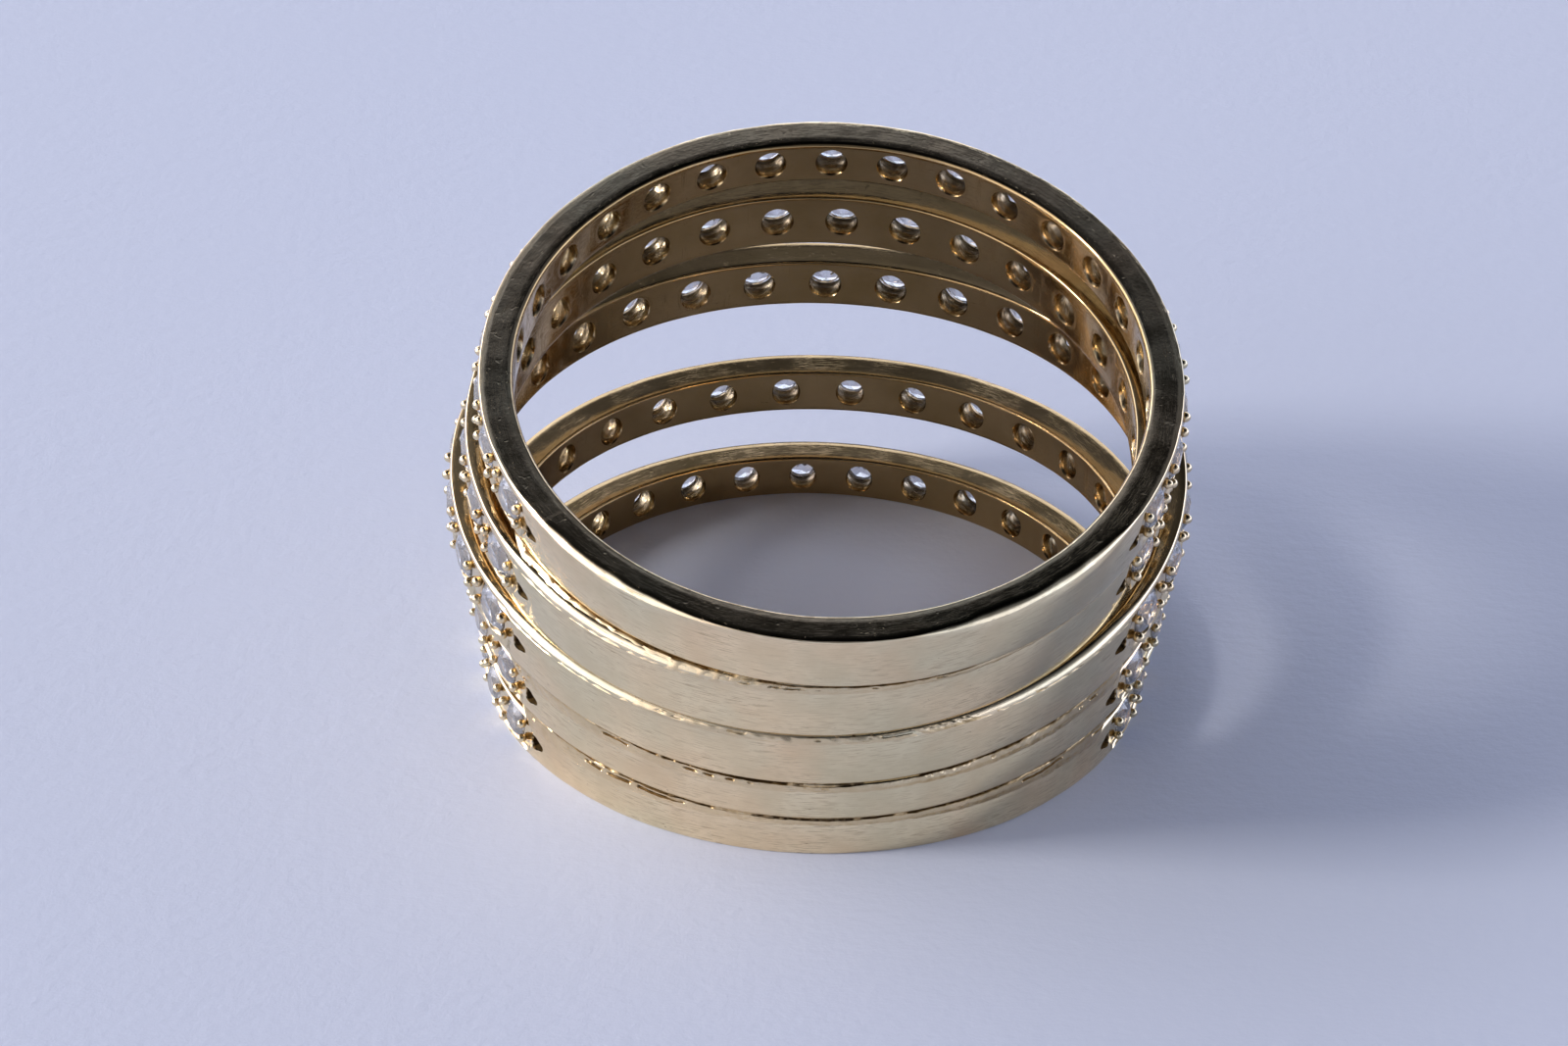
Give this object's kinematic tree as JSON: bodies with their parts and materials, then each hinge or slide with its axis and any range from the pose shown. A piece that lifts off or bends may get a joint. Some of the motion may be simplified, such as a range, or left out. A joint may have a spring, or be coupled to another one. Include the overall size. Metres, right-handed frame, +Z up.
{
  "type": "multi-band ring",
  "caption": "Finger ring of narrow gold bands soldered along a plain back and fanned apart at the front, each band set with a row of small round brilliants between grains.",
  "frame": {"origin": "middle of the plan of the ring, on the surface that it lies on", "axes": "+Z up out of the surface, the finger passage runs roughly along Z; -Y is the plain soldered back, +Y the fanned front"},
  "size_m": [0.0208, 0.0218, 0.0131],
  "materials": {
    "gold": "pale yellow gold alloy, polished and worn, with fine scratches and dark seams",
    "stones": "colourless faceted round brilliants"
  },
  "bodies": {
    "root": {"ring_bands": "gold"}
  },
  "joints": []
}
